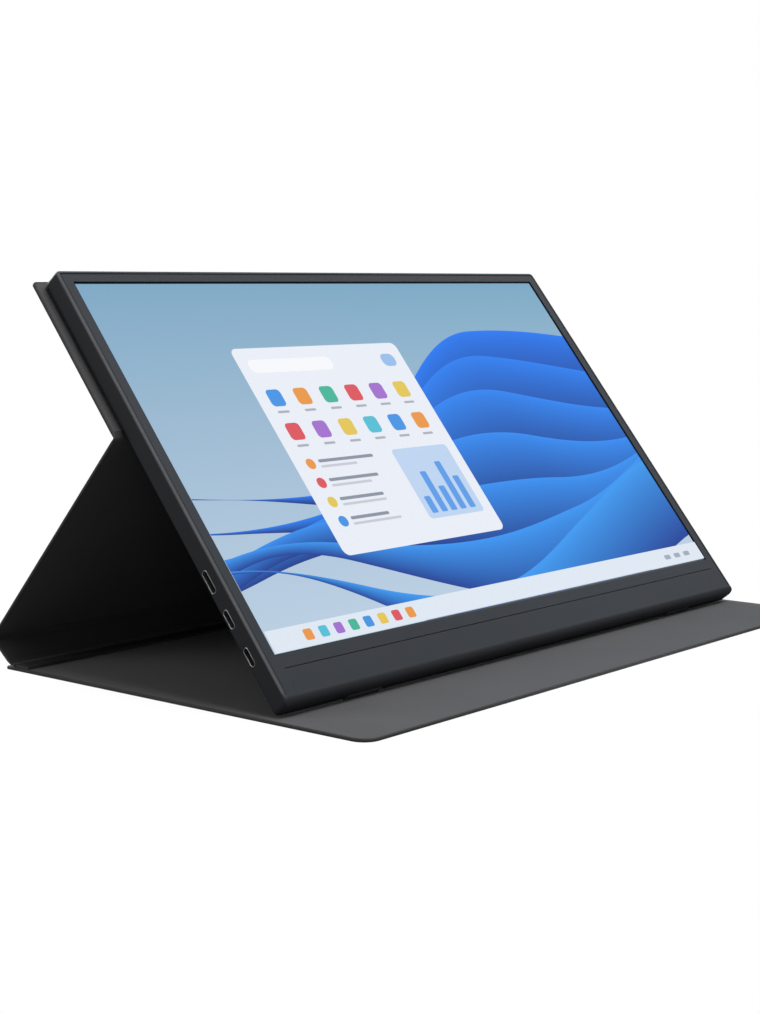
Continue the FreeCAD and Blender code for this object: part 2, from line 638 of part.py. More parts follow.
def make_board_screws():
    """Six small screws that hold the boards on their pads."""
    tip = FLOOR_T - SCREW_BITE + SCREW_PLAY
    screws = []
    for x, y in all_screw_places():
        shank = cylinder(x, y, tip, BOARD_FACE, SCREW_R)
        head = cylinder(x, y, BOARD_FACE, BOARD_FACE + SCREW_HEAD_H, SCREW_HEAD_R)
        screws.append(shank.fuse(head).removeSplitter())
    save_slab("board_screws", Part.makeCompound(screws))


def make_controls():
    """Menu wheel on its pin, power button and the switch behind it."""
    wheel_low = MID_DEPTH - WHEEL_T / 2
    pin = cylinder(WHEEL_X, WHEEL_V, FLOOR_T, LEDGE_TOP - WHEEL_SEAT_GAP, WHEEL_PIN_R)
    seat = cylinder(WHEEL_X, WHEEL_V, FLOOR_T, wheel_low - WHEEL_SEAT_GAP, WHEEL_SEAT_R)
    save_slab("wheel_pin", pin.fuse(seat).removeSplitter())
    wheel = cylinder(WHEEL_X, WHEEL_V, wheel_low, wheel_low + WHEEL_T, WHEEL_R)
    bore = cylinder(WHEEL_X, WHEEL_V, wheel_low, wheel_low + WHEEL_T, WHEEL_PIN_R + WHEEL_PIN_PLAY)
    save_slab("menu_wheel", wheel.cut(bore))
    flange_out = INNER_SIDE - FLANGE_GAP
    flange_in = flange_out - FLANGE_T
    across = FreeCAD.Vector(1, 0, 0)
    low = MID_DEPTH - POWER_H / 2
    high = MID_DEPTH + POWER_H / 2
    cap = rounded_box(flange_out, SIDE + POWER_PROUD, POWER_V - POWER_L / 2, POWER_V + POWER_L / 2, low, high,
                      PILL_SHARE * POWER_H, across)
    flange = box(flange_in, flange_out, POWER_V - FLANGE_L / 2, POWER_V + FLANGE_L / 2, low, high)
    stem = box(flange_in - STEM_L, flange_in, POWER_V - STEM_W / 2, POWER_V + STEM_W / 2,
               MID_DEPTH - STEM_H / 2, MID_DEPTH + STEM_H / 2)
    save_slab("power_button", join_all(cap, [flange, stem]))
    switch = box(KEY_BOARD_X - SWITCH_L, KEY_BOARD_X, POWER_V - SWITCH_W / 2, POWER_V + SWITCH_W / 2,
                 BOARD_FACE, BOARD_FACE + SWITCH_H)
    save_slab("power_switch", switch)


def make_speakers():
    """Two box speakers behind the chin."""
    for name, x in (("left_speaker", SPEAKER_SIDE - SIDE), ("right_speaker", SIDE - SPEAKER_SIDE)):
        speaker = rounded_box(x - SPEAKER_W / 2, x + SPEAKER_W / 2, SPEAKER_V, SPEAKER_V + SPEAKER_H,
                              FLOOR_T, FLOOR_T + SPEAKER_T, SLOT_W)
        save_slab(name, speaker)


def make_magnets():
    """Magnets on the housing's floor that hold the slab to the cover."""
    middle = SLAB_H - MAGNET_TOP
    top = FLOOR_T + MAGNET_T
    places = paired_places(SIDE - MAGNET_SIDE, MAGNET_SHARE)
    magnets = [centred_box(x, middle, MAGNET_W, MAGNET_H, FLOOR_T, top) for x in places]
    save_slab("housing_magnets", Part.makeCompound(magnets))


def make_feet():
    """Rubber feet under the slab's bottom edge, near its back."""
    body = slab_body()
    across = FreeCAD.Vector(1, 0, 0)
    for name, x in (("left_foot", FOOT_SIDE - SIDE), ("right_foot", SIDE - FOOT_SIDE)):
        block = box(x - FOOT_W / 2, x + FOOT_W / 2, -FOOT_T, BACK_ROUND, FOOT_REAR, FOOT_REAR + FOOT_DEPTH)
        lowest = [e for e in edges_along(block, across) if e.Vertexes[0].Y < 0]
        block = block.makeFillet(FOOT_ROUND, lowest)
        save_slab(name, block.cut(body))


make_cover()
make_rear_housing()
make_front()
make_middle_frame()
make_panel()
make_sockets()
make_boards()
make_controls()
make_speakers()
make_magnets()
make_feet()

for title, fold, before, after in (
    ("flap fold", FLAP_FOLD, 0, SPINE_TURN),
    ("spine fold", SPINE_FOLD, SPINE_TURN, REAR_TURN),
    ("top fold", TOP_FOLD, REAR_TURN, SLAB_TURN),
):
    print(title, "y", round(fold[0] - ORIGIN_Y, 4), "z", round(fold[1], 4), "turn", round(after - before, 4))
print("slab", SLAB_W, SLAB_H, SLAB_T, "origin y", SLAB_Y - ORIGIN_Y, "z", SLAB_Z, "turn", SLAB_TURN)
print("wheel", WHEEL_X, WHEEL_V, MID_DEPTH)
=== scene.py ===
import bpy
import json
import math
from mathutils import Matrix, Vector


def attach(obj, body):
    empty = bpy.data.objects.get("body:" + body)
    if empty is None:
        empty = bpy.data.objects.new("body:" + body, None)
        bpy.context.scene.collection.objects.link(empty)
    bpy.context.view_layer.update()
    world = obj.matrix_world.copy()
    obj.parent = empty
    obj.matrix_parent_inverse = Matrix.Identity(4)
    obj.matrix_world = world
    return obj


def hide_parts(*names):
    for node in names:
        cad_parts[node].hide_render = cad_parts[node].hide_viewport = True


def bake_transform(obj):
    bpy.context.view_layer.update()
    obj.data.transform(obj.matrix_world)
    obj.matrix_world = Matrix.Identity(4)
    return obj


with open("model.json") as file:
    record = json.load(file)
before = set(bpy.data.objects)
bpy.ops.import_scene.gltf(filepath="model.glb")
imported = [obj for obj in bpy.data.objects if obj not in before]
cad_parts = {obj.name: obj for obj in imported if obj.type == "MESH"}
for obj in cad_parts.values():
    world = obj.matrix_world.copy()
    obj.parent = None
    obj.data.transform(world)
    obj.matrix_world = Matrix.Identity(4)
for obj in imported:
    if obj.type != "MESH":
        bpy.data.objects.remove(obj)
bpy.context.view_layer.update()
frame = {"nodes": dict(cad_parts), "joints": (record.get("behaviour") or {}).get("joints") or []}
nodes = frame["nodes"]
joints = {joint["name"]: joint for joint in frame["joints"]}

# Portable monitor standing on its folding cover.
# Lengths are metres in the part's frame, angles are degrees.

# Slab
SLAB_TURN = 51.6
SLAB_EDGE = (-0.0616393, 0.0016556)     # slab's bottom back edge, as (y, z)
SLAB_SIDE = 0.1802
RIM_START = 0.0                         # depths of the painted highlight on the front rim, from the display's face
RIM_END = 0.0009
ROLL_START = -0.0205                    # rolled lower edge, from the display's lower edge
ROLL_END = -0.0165
SEAM_SIDE = 0.1777                      # painted shade in the seam round the bezel: start at the sides, from the middle
SEAM_TOP = 0.1984                       # start at the top, from the display's lower edge
SEAM_W = 0.0007
MID_DEPTH = 0.003                       # middle of sockets and controls, from the slab's back
ACTIVE_W = 0.34416
ACTIVE_H = 0.19359
CHIN_H = 0.0234
DISPLAY_FACE = 0.0092                   # display's face, from the slab's back

# Sockets: place up the left wall, width and height of each shell
SOCKETS = {
    "usb_c_lower": (0.0271, 0.00894, 0.00316),
    "usb_c_upper": (0.04555, 0.00894, 0.00316),
    "mini_hdmi": (0.064, 0.0112, 0.0033),
}
SOCKET_MOUTH = 0.0003 - SLAB_SIDE
TONGUE_TIP = SOCKET_MOUTH + 0.0024
TONGUE_T = 0.0007

# Menu wheel
WHEEL_X = 0.1753
WHEEL_V = 0.04
WHEEL_R = 0.006

# Folding cover
COVER_SIDE = 0.185
COVER_HALF = 0.0008                     # half the cover's thickness
STIFFENER_LOW = -0.0003
STIFFENER_HIGH = 0.0004
HEM = 0.0008
CREASE_REACH = 0.003
FLAP_LEN = 0.2178                       # front edge to the first fold
FLAP_TAIL = 0.0035                      # flap behind the first fold
TAB_LEN = 0.012                         # spine's margin glued on the flap
TAB_HALF = 0.00045
SPINE_LEN = 0.017
REAR_LEN = 0.13215
UPPER_LEN = 0.085
FLAP_CORNER_R = 0.008
TAIL_CORNER_R = 0.0015
UPPER_CORNER_R = 0.002
SPINE_TURN = 39.6
REAR_TURN = 131.9978

ARC_STEPS = 10                          # faces round a corner

# Colours and glosses
SLATE = (0.017, 0.0195, 0.0255)
DARK_SLATE = (0.021, 0.022, 0.0255)
# Painted highlight laid along the housing's rounded front rim
RIM_HIGHLIGHT = (0.105, 0.108, 0.114)
# Painted shade laid in the bezel's seam beside the housing's rim
SEAM_SHADE = (0.006, 0.006, 0.007)
COAT_ROUGH = (0.4, 0.5)
HOUSING_GLOSS = 0.12
BEZEL_GLOSS = 0.2
SEAM_GLOSS = 0.02
PEBBLE = 0.0011                         # size of the leather's pebbles
UNLIT = (0.01, 0.01, 0.012, 1)          # display's own colour under its light
DISPLAY_GLOW = 1.0
DISPLAY_GLOSS = 0.1


def hinge_line(joint):
    """Line that a fold turns about, as (y, z)."""
    return tuple(joints[joint]["pos_m"][1:])


def placed(turn, edge):
    """Place of a flat piece that turns about X at a (y, z) line."""
    return Matrix.Translation((0, edge[0], edge[1])) @ Matrix.Rotation(math.radians(turn), 4, "X")


FLAP_FOLD = hinge_line("flap_fold")
SPINE_FOLD = hinge_line("stand_fold")
TOP_FOLD = hinge_line("top_fold")
ON_SLAB = placed(SLAB_TURN, SLAB_EDGE)
ON_FLAP = placed(0, (FLAP_FOLD[0], COVER_HALF))
ON_SPINE = placed(SPINE_TURN, FLAP_FOLD)
ON_REAR = placed(REAR_TURN, SPINE_FOLD)
ON_UPPER = placed(SLAB_TURN, TOP_FOLD)
DISPLAY_EDGE = ON_SLAB @ Vector((0, CHIN_H, DISPLAY_FACE))      # middle of the display's lower edge


# Shader nodes

PATTERN_LOW = 0.3           # most of a cloudy pattern lies between these values
PATTERN_HIGH = 0.7
CLOUD = 0.03                # size of the soft clouds in coated, moulded and rolled finishes


def add_node(tree, kind, inputs=None, **settings):
    """Adds one node; an input is either a value or the socket that feeds it."""
    node = tree.nodes.new(kind)
    for name, value in settings.items():
        setattr(node, name, value)
    for key, value in (inputs or {}).items():
        if isinstance(value, bpy.types.NodeSocket):
            tree.links.new(value, node.inputs[key])
        else:
            node.inputs[key].default_value = value
    return node


def start_material(name, **constants):
    """New material with its shader; constants are set on the shader's own sockets."""
    material = bpy.data.materials.new(name)
    material.use_nodes = True
    tree = material.node_tree
    shader = tree.nodes["Principled BSDF"]
    for key, value in constants.items():
        shader.inputs[key.replace("_", " ")].default_value = value
    place = add_node(tree, "ShaderNodeTexCoord").outputs["Object"]
    return material, tree, shader, place


def noise(tree, place, size, detail=2.0, stretch=None):
    """Cloudy pattern whose blotches are about one size across."""
    if stretch:
        place = add_node(tree, "ShaderNodeMapping", {"Vector": place, "Scale": stretch}).outputs["Vector"]
    return add_node(tree, "ShaderNodeTexNoise",
                    {"Vector": place, "Scale": 1 / size, "Detail": detail}).outputs["Fac"]


def spread(tree, value, low, high):
    """Pattern value stretched to run from low to high."""
    return add_node(tree, "ShaderNodeMapRange", {
        "Value": value, "From Min": PATTERN_LOW, "From Max": PATTERN_HIGH,
        "To Min": low, "To Max": high}).outputs[0]


def between(tree, value, start, end, top=1.0, kind="LINEAR"):
    """Share that grows from nothing at the start to the top at the end."""
    return add_node(tree, "ShaderNodeMapRange", {
        "Value": value, "From Min": start, "From Max": end, "To Max": top},
        interpolation_type=kind).outputs[0]


def calculated(tree, operation, *values):
    """Result of one sum on pattern values."""
    return add_node(tree, "ShaderNodeMath", dict(enumerate(values)), operation=operation).outputs[0]


def blended(tree, share, first, second):
    """Colour between two others, by a share that varies over the piece."""
    mixed = add_node(tree, "ShaderNodeMix", {"Factor": share, "A": first, "B": second}, data_type="RGBA")
    return mixed.outputs["Result"]


def lay_over(tree, shader, share, colour):
    """Lays a colour over the shader's own."""
    own = shader.inputs["Base Color"].links[0].from_socket
    tree.links.new(blended(tree, share, own, (*colour, 1)), shader.inputs["Base Color"])


def two_tone(tree, value, first, second):
    """Colour that goes from one tone to another with a pattern."""
    ramp = add_node(tree, "ShaderNodeValToRGB", {"Fac": value})
    ramp.color_ramp.elements[0].position = PATTERN_LOW
    ramp.color_ramp.elements[1].position = PATTERN_HIGH
    ramp.color_ramp.elements[0].color = (*first, 1)
    ramp.color_ramp.elements[1].color = (*second, 1)
    return ramp.outputs["Color"]


def raise_bumps(tree, shader, height, depth, strength=1.0, under=None):
    """Gives the shader a relief of a real depth, on top of an earlier one if there is one."""
    inputs = {"Height": height, "Distance": depth, "Strength": strength}
    if under:
        inputs["Normal"] = under
    normal = add_node(tree, "ShaderNodeBump", inputs).outputs["Normal"]
    tree.links.new(normal, shader.inputs["Normal"])
    return normal


def shaded(colour, factor):
    """Colour made lighter or darker."""
    return tuple(c * factor for c in colour)


def grained(name, colour, contrast, rough, grain, depth, **constants):
    """Moulded, coated or rolled finish: cloudy tone, uneven gloss and a fine grain."""
    material, tree, shader, place = start_material(name, **constants)
    clouds = noise(tree, place, CLOUD, 4)
    fine = noise(tree, place, grain, 3)
    tone = two_tone(tree, clouds, shaded(colour, 1 - contrast), shaded(colour, 1 + contrast))
    tree.links.new(tone, shader.inputs["Base Color"])
    tree.links.new(spread(tree, fine, rough[0], rough[1]), shader.inputs["Roughness"])
    raise_bumps(tree, shader, fine, depth, 0.6)
    return material


def slate_coat(name, colour, rough, gloss):
    """Dark satin coat of the slab: fine sprayed grain with a soft cloudiness."""
    return grained(name, colour, 0.05, rough, 0.00045, 0.000012, Specular_IOR_Level=gloss)


def bright_metal(name, colour, rough):
    """Stamped or plated metal with faint drawing lines."""
    material, tree, shader, place = start_material(name, Metallic=1.0)
    lines = noise(tree, place, 0.0006, 3, stretch=(1, 0.08, 0.08))
    tree.links.new(two_tone(tree, lines, shaded(colour, 0.85), colour), shader.inputs["Base Color"])
    tree.links.new(spread(tree, lines, rough[0], rough[1]), shader.inputs["Roughness"])
    raise_bumps(tree, shader, lines, 0.00001, 0.4)
    return material


def cover_leather():
    """Dark grey synthetic leather: pebbled grain with finer wrinkles between the pebbles."""
    material, tree, shader, place = start_material("cover_leather", Specular_IOR_Level=0.25)
    wander = noise(tree, place, 0.004, 2)
    shift = add_node(tree, "ShaderNodeVectorMath", {0: wander, "Scale": 0.0006}, operation="SCALE").outputs[0]
    warped = add_node(tree, "ShaderNodeVectorMath", {0: place, 1: shift}).outputs[0]
    pebbles = add_node(tree, "ShaderNodeTexVoronoi", {"Vector": warped, "Scale": 1 / PEBBLE},
                       feature="DISTANCE_TO_EDGE").outputs["Distance"]
    rounded = between(tree, pebbles, 0, 0.28, kind="SMOOTHSTEP")
    clouds = noise(tree, place, 0.05, 3)
    tone = two_tone(tree, clouds, (0.03, 0.03, 0.031), (0.038, 0.038, 0.039))
    tree.links.new(tone, shader.inputs["Base Color"])
    tree.links.new(spread(tree, rounded, 0.62, 0.5), shader.inputs["Roughness"])
    relief = raise_bumps(tree, shader, rounded, 0.00007, 0.7)
    raise_bumps(tree, shader, noise(tree, place, 0.0003, 3), 0.00002, 0.4, relief)
    return material


def cover_lining(name, tones):
    """Microfibre with a short nap brushed into soft patches."""
    material, tree, shader, place = start_material(name, Sheen_Weight=0.1, Sheen_Roughness=0.5,
                                                   Specular_IOR_Level=0.15)
    nap = noise(tree, place, 0.0005, 4)
    patches = noise(tree, place, 0.03, 3)
    mixed = add_node(tree, "ShaderNodeMix", {"Factor": 0.35, "A": nap, "B": patches}).outputs[0]
    tone = two_tone(tree, mixed, *tones)
    tree.links.new(tone, shader.inputs["Base Color"])
    tree.links.new(spread(tree, patches, 0.85, 0.98), shader.inputs["Roughness"])
    raise_bumps(tree, shader, nap, 0.00012, 0.5)
    return material


def foot_rubber(name, colour):
    """Matt rubber with a fine moulded texture and a dusty bloom."""
    return grained(name, colour, 0.2, (0.75, 0.92), 0.0004, 0.00003, Specular_IOR_Level=0.3)


def pressed_board():
    """Grey board with short fibres."""
    material, tree, shader, place = start_material("stiffener_board", Specular_IOR_Level=0.1)
    fibres = noise(tree, place, 0.0015, 5, stretch=(0.3, 1, 1))
    tone = two_tone(tree, fibres, (0.24, 0.22, 0.18), (0.36, 0.33, 0.27))
    tree.links.new(tone, shader.inputs["Base Color"])
    tree.links.new(spread(tree, fibres, 0.85, 0.97), shader.inputs["Roughness"])
    raise_bumps(tree, shader, fibres, 0.00005, 0.6)
    return material


def circuit_board():
    """Green solder mask with paler copper tracks under it."""
    material, tree, shader, place = start_material("circuit_board", Coat_Weight=0.3, Coat_Roughness=0.2)
    flat = add_node(tree, "ShaderNodeMapping", {
        "Vector": place, "Rotation": (math.radians(SLAB_TURN), 0, 0)},
        vector_type="TEXTURE").outputs["Vector"]
    tracks = add_node(tree, "ShaderNodeTexBrick", {
        "Vector": flat, "Scale": 1.0, "Mortar Size": 0.0002, "Brick Width": 0.009, "Row Height": 0.0012,
        "Color1": (0.008, 0.07, 0.03, 1), "Color2": (0.01, 0.085, 0.036, 1), "Mortar": (0.03, 0.15, 0.06, 1)})
    tree.links.new(tracks.outputs["Color"], shader.inputs["Base Color"])
    tree.links.new(spread(tree, noise(tree, place, 0.004), 0.3, 0.45), shader.inputs["Roughness"])
    raise_bumps(tree, shader, tracks.outputs["Fac"], 0.00003, 0.6)
    return material


def clear_sheet():
    """Clear acrylic sheet with a printed dot pattern on its back."""
    material, tree, shader, place = start_material("light_guide_acrylic", Transmission_Weight=0.9, IOR=1.49)
    dots = add_node(tree, "ShaderNodeTexVoronoi", {"Vector": place, "Scale": 1 / 0.0016, "Randomness": 0.1})
    printed = between(tree, dots.outputs["Distance"], 0.25, 0.3)
    tree.links.new(two_tone(tree, printed, (0.9, 0.9, 0.9), (0.8, 0.84, 0.85)), shader.inputs["Base Color"])
    tree.links.new(spread(tree, printed, 0.5, 0.05), shader.inputs["Roughness"])
    return material


def display_glass():
    """Black border of the display: dark glass with a faint anti-glare grain."""
    return grained("display_border_glass", (0.006, 0.006, 0.008), 0.1, (0.18, 0.3), 0.0002, 0.000004)


def slab_plane(tree, place):
    """Place on the slab: across from the middle, up from the display's lower edge, out of its face."""
    mapped = add_node(tree, "ShaderNodeMapping", {
        "Vector": place, "Location": DISPLAY_EDGE, "Rotation": (math.radians(SLAB_TURN), 0, 0)},
        vector_type="TEXTURE")
    return add_node(tree, "ShaderNodeSeparateXYZ", {0: mapped.outputs["Vector"]}).outputs


def slab_coat(name, colour, gloss):
    """Coat of the slab with what is needed to vary it: tree, shader, place and place on the slab."""
    material = slate_coat(name, colour, COAT_ROUGH, gloss)
    tree = material.node_tree
    place = add_node(tree, "ShaderNodeTexCoord").outputs["Object"]
    return material, tree, tree.nodes["Principled BSDF"], place, slab_plane(tree, place)


def housing_coat():
    """Dark satin coat of the housing, with a painted highlight along its front rim above the rolled lower
    edge.
    """
    material, tree, shader, place, (_, up, depth) = slab_coat("housing_slate", DARK_SLATE, HOUSING_GLOSS)
    # Painted highlight: paler colour over the rim's rounding, patchy, fading out below the rolled lower edge
    half_turn = between(tree, depth, RIM_START, RIM_END, top=math.pi)
    painted_highlight = calculated(tree, "SINE", half_turn)
    patchy = spread(tree, noise(tree, place, 0.02, 3), 0.7, 1.0)
    above_roll = between(tree, up, ROLL_START, ROLL_END)
    share = calculated(tree, "MULTIPLY", calculated(tree, "MULTIPLY", painted_highlight, patchy), above_roll)
    lay_over(tree, shader, share, RIM_HIGHLIGHT)
    return material


def bezel_coat():
    """Fine satin coat of the bezel, with painted shade and less gloss in the seam beside the housing's rim.
    """
    material, tree, shader, _, (across, up, _) = slab_coat("bezel_slate", SLATE, BEZEL_GLOSS)
    side = between(tree, calculated(tree, "ABSOLUTE", across), SEAM_SIDE, SEAM_SIDE + SEAM_W)
    top = between(tree, up, SEAM_TOP, SEAM_TOP + SEAM_W)
    seam_shade = calculated(tree, "MAXIMUM", side, top)
    # Painted shade of the seam gap over the bezel's outer edge, where the coat is also made duller
    lay_over(tree, shader, seam_shade, SEAM_SHADE)
    gloss = add_node(tree, "ShaderNodeMapRange", {
        "Value": seam_shade, "To Min": BEZEL_GLOSS, "To Max": SEAM_GLOSS}).outputs[0]
    tree.links.new(gloss, shader.inputs["Specular IOR Level"])
    return material


def lit_material(name):
    """Material of the lit display, with the fine matt grain of its face."""
    material, tree, shader, place = start_material(
        name, Base_Color=UNLIT, Emission_Strength=DISPLAY_GLOW, Specular_IOR_Level=DISPLAY_GLOSS)
    tree.links.new(spread(tree, noise(tree, place, 0.0002, 2), 0.5, 0.62), shader.inputs["Roughness"])
    return material, tree, shader, place


def display_backdrop():
    """Lit display behind the picture: pale blue that brightens towards the lower edge."""
    material, tree, shader, place = lit_material("display_backdrop")
    across, up, _ = slab_plane(tree, place)
    right = between(tree, across, -ACTIVE_W / 2, ACTIVE_W / 2, kind="SMOOTHSTEP")
    low = two_tone(tree, right, (0.49, 0.61, 0.745), (0.50, 0.62, 0.75))
    high = two_tone(tree, right, (0.19, 0.37, 0.53), (0.18, 0.37, 0.53))
    sky = blended(tree, between(tree, up, 0, ACTIVE_H), low, high)
    tree.links.new(sky, shader.inputs["Emission Color"])
    return material


def picture_light():
    """Lit shapes of the picture: each takes its own colour, with a faint dot structure."""
    material, tree, shader, place = lit_material("display_picture")
    own = add_node(tree, "ShaderNodeAttribute", attribute_name="shade").outputs["Color"]
    dots = spread(tree, noise(tree, place, 0.0004, 2), 0.96, 1.04)
    lit = add_node(tree, "ShaderNodeVectorMath", {0: own, "Scale": dots}, operation="SCALE").outputs[0]
    tree.links.new(lit, shader.inputs["Emission Color"])
    return material


LEATHER = cover_leather()
GREY_LINING = cover_lining("grey_microfibre", ((0.062, 0.062, 0.065), (0.084, 0.084, 0.087)))
# Painted shade: the grey microfibre at half its tone, for the spine, rear panel and folds inside the stand
SHADED_LINING = cover_lining("shaded_microfibre", ((0.031, 0.031, 0.032), (0.042, 0.042, 0.043)))
NICKEL = bright_metal("socket_nickel", (0.5, 0.5, 0.51), (0.3, 0.45))
GOLD = bright_metal("contact_gold", (0.85, 0.6, 0.25), (0.15, 0.3))
HOUSING = housing_coat()
BEZEL = bezel_coat()
BUTTONS = slate_coat("button_slate", DARK_SLATE, (0.34, 0.44), 0.4)
BLACK_PLASTIC = grained("black_plastic", (0.014, 0.014, 0.015), 0.15, (0.4, 0.55), 0.0005, 0.00001)
FOOT_RUBBER = foot_rubber("foot_rubber", (0.045, 0.047, 0.05))
GREEN_BOARD = circuit_board()
WHITE_FILM = grained("white_film", (0.8, 0.82, 0.82), 0.03, (0.5, 0.65), 0.0003, 0.000005)
ROLLED_STEEL = bright_metal("rolled_steel", (0.6, 0.6, 0.62), (0.3, 0.45))
PICTURE = picture_light()

NODE_FINISHES = {
    "rear_housing": HOUSING,
    "front_bezel": BEZEL,
    "chin_plate": BEZEL,
    "middle_frame": BLACK_PLASTIC,
    "panel_tray": ROLLED_STEEL,
    "reflector_sheet": WHITE_FILM,
    "led_bar": GREEN_BOARD,
    "light_guide": clear_sheet(),
    "optical_films": WHITE_FILM,
    "display_glass": display_glass(),
    "polariser": display_backdrop(),
    "main_board": GREEN_BOARD,
    "key_board": GREEN_BOARD,
    "driver_board": GREEN_BOARD,
    "shield_can": ROLLED_STEEL,
    "display_cable": grained("cable_film", (0.6, 0.6, 0.57), 0.06, (0.4, 0.5), 0.0008, 0.00001),
    "board_screws": NICKEL,
    "wheel_pin": NICKEL,
    "power_switch": BLACK_PLASTIC,
    "left_speaker": BLACK_PLASTIC,
    "right_speaker": BLACK_PLASTIC,
    "housing_magnets": bright_metal("magnet_nickel", (0.6, 0.6, 0.6), (0.2, 0.35)),
    "flap_magnets": bright_metal("flap_magnet_nickel", (0.58, 0.58, 0.6), (0.2, 0.35)),
    "left_foot": FOOT_RUBBER,
    "right_foot": FOOT_RUBBER,
    "power_button": BUTTONS,
    "menu_wheel": BUTTONS,
    "magnet_sheet": foot_rubber("magnet_rubber", (0.03, 0.03, 0.032)),
}
for socket in SOCKETS:
    NODE_FINISHES[socket + "_shell"] = NICKEL
    NODE_FINISHES[socket + "_tongue"] = BLACK_PLASTIC
STIFFENER = pressed_board()
for panel in ("flap", "spine", "rear", "upper"):
    NODE_FINISHES[panel + "_stiffener"] = STIFFENER
for node_name, finish in NODE_FINISHES.items():
    for node_slot in nodes[node_name].material_slots:
        node_slot.material = finish


# Mesh pieces

def add_piece(name, verts, faces, materials, place, face_slots=None, sharp=40):
    """New piece from a mesh drawn flat and then put in its place."""
    mesh = bpy.data.meshes.new(name)
    mesh.from_pydata(verts, [], faces)
    for material in materials:
        mesh.materials.append(material)
    if face_slots:
        mesh.polygons.foreach_set("material_index", face_slots)
    mesh.transform(place)
    mesh.shade_smooth()
    mesh.set_sharp_from_angle(angle=math.radians(sharp))
    mesh.update()
    piece = bpy.data.objects.new(name, mesh)
    bpy.context.scene.collection.objects.link(piece)
    return piece


def rounded_loop(x0, x1, y0, y1, radii, z, steps=ARC_STEPS):
    """Closed outline, anticlockwise from the lower left, with a quarter turn at each corner."""
    corners = ((x0, y0, 1, 1, 180), (x1, y0, -1, 1, 270), (x1, y1, -1, -1, 0), (x0, y1, 1, -1, 90))
    loop = []
    for (x, y, in_x, in_y, start), radius in zip(corners, radii):
        for i in range(steps + 1):
            angle = math.radians(start + 90 * i / steps)
            loop.append((x + in_x * radius + radius * math.cos(angle),
                         y + in_y * radius + radius * math.sin(angle), z))
    return loop


def loft(loops):
    """Vertices and faces of a closed form that runs through a stack of outlines."""
    count = len(loops[0])
    verts = [point for loop in loops for point in loop]
    faces = [list(range(count))[::-1]]
    for k in range(len(loops) - 1):
        low, high = k * count, (k + 1) * count
        for i in range(count):
            j = (i + 1) % count
            faces.append([low + i, low + j, high + j, high + i])
    faces.append([len(verts) - count + i for i in range(count)])
    return verts, faces


# Cover panels

EDGE_ROUND = 0.00055
EDGE_STEPS = 5
FOLD_SIDE_INSET = 0.03      # share of an inset that is kept on a side next to a fold
FOLD_CORNER_R = 0.0002
LINING_GAP = 0.00006
LINING_ROUND = 0.00018


def panel_loop(y0, y1, near_r, far_r, inset, z):
    """Outline of a cover panel at an inset from its edges; a side with no radius meets a fold."""
    near = y0 + inset * (1 if near_r else FOLD_SIDE_INSET)
    far = y1 - inset * (1 if far_r else FOLD_SIDE_INSET)
    near_corner = max(near_r - inset, FOLD_CORNER_R)
    far_corner = max(far_r - inset, FOLD_CORNER_R)
    side = COVER_SIDE - inset
    return rounded_loop(-side, side, near, far, (near_corner, near_corner, far_corner, far_corner), z)


def rounding(radius, z, outward):
    """Insets and heights of a rounded edge, up to the side if outward, else from the side inwards."""
    steps = []
    for i in range(EDGE_STEPS + 1):
        angle = math.radians(90 * i / EDGE_STEPS)
        if outward:
            steps.append((radius * (1 - math.sin(angle)), z + radius * (1 - math.cos(angle))))
        else:
            steps.append((radius * (1 - math.cos(angle)), z - radius * (1 - math.sin(angle))))
    return steps


def make_panel(panel, y0, y1, place, body, lined, near_r=0.0, far_r=0.0):
    """Leather skin turned round a panel's edges, and the lining inside its hem."""
    profile = rounding(EDGE_ROUND, -COVER_HALF, True) + rounding(EDGE_ROUND, COVER_HALF, False)
    profile += [(HEM - LINING_ROUND, COVER_HALF), (HEM, COVER_HALF - LINING_ROUND / 2), (HEM, STIFFENER_LOW)]
    verts, faces = loft([panel_loop(y0, y1, near_r, far_r, inset, z) for inset, z in profile])
    skin = add_piece(panel + "_leather", verts, faces, [LEATHER], place)
    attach(skin, body)
    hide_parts(panel + "_skin")
    edge = HEM + LINING_GAP
    profile = [(edge, STIFFENER_HIGH)]
    profile += [(edge + inset, z) for inset, z in rounding(LINING_ROUND, COVER_HALF, False)]
    verts, faces = loft([panel_loop(y0, y1, near_r, far_r, inset, z) for inset, z in profile])
    lining = add_piece(panel + "_microfibre", verts, faces, [lined], place)
    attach(lining, body)
    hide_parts(panel + "_lining")


make_panel("flap", -FLAP_LEN, FLAP_TAIL, ON_FLAP, "flap", GREY_LINING,
           near_r=FLAP_CORNER_R, far_r=TAIL_CORNER_R)
make_panel("spine", CREASE_REACH, SPINE_LEN - CREASE_REACH, ON_SPINE, "spine", SHADED_LINING)
make_panel("rear", CREASE_REACH, REAR_LEN - CREASE_REACH, ON_REAR, "rear_panel", SHADED_LINING)
make_panel("upper", CREASE_REACH, UPPER_LEN, ON_UPPER, "upper_panel", GREY_LINING, far_r=UPPER_CORNER_R)


# Folds between the panels

FOLD_STEPS = 28
FOLD_THIN = 0.0004          # half thickness in the middle of a fold
FOLD_END = 0.00076          # half thickness where a fold meets a panel
FOLD_END_CAP = 0.0006       # length of the rounded end of a fold
FOLD_TAPER = ((0, 0.6), (1 / 3, 0.9), (1, 1.0))     # share of that length, and of the thickness there


